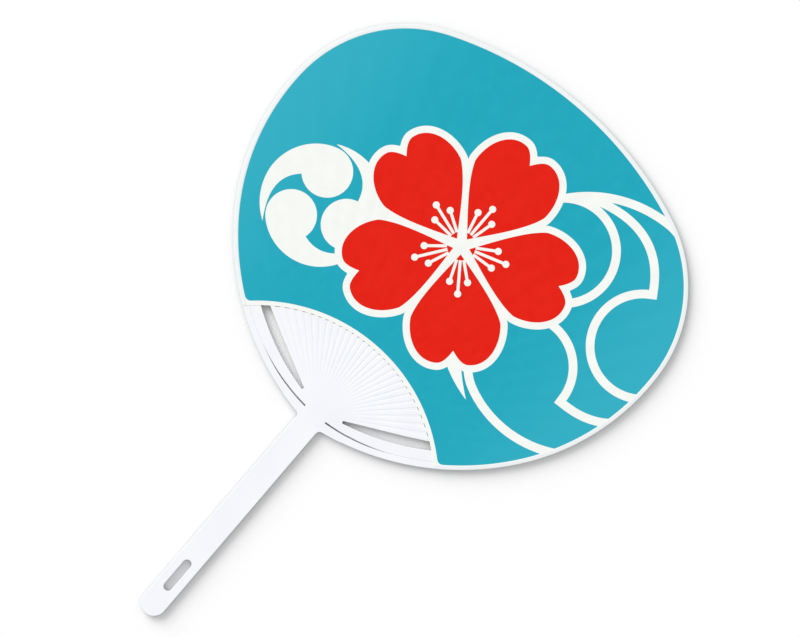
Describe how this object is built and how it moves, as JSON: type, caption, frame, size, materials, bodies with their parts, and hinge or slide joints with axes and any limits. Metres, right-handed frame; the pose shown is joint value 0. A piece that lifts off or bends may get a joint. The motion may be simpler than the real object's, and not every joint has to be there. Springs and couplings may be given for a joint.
{
  "type": "round uchiwa fan",
  "caption": "Flat round hand fan with a white moulded frame of radiating ribs, a straight slotted handle and printed paper on both faces.",
  "frame": {"origin": "point where the lines of the ribs meet, at the neck of the handle, on the handle's back face", "axes": "+X to the right seen from the front, +Y up the fan from the handle to the crown, +Z out of the front face"},
  "size_m": [0.2402, 0.3398, 0.0028],
  "materials": {
    "frame_plastic": "satin white moulded polypropylene",
    "printed_paper": "matte coated paper, printed teal, red and white",
    "white_paper": "matte unprinted paper"
  },
  "bodies": {
    "root": {"handle": "frame_plastic", "hub": "frame_plastic", "left_bow": "frame_plastic", "right_bow": "frame_plastic", "left_arm": "frame_plastic", "right_arm": "frame_plastic", "rib_01": "frame_plastic", "rib_02": "frame_plastic", "rib_03": "frame_plastic", "rib_04": "frame_plastic", "rib_05": "frame_plastic", "rib_06": "frame_plastic", "rib_07": "frame_plastic", "rib_08": "frame_plastic", "rib_09": "frame_plastic", "rib_10": "frame_plastic", "rib_11": "frame_plastic", "rib_12": "frame_plastic", "rib_13": "frame_plastic", "rib_14": "frame_plastic", "rib_15": "frame_plastic", "rib_16": "frame_plastic", "rib_17": "frame_plastic", "rib_18": "frame_plastic", "rib_19": "frame_plastic", "rib_20": "frame_plastic", "rib_21": "frame_plastic", "rib_22": "frame_plastic", "rib_23": "frame_plastic", "rib_24": "frame_plastic", "rib_25": "frame_plastic", "rib_26": "frame_plastic", "rib_27": "frame_plastic", "rib_28": "frame_plastic", "rib_29": "frame_plastic", "front_sheet": "printed_paper", "back_sheet": "printed_paper", "edge_binding": "white_paper"}
  },
  "joints": []
}
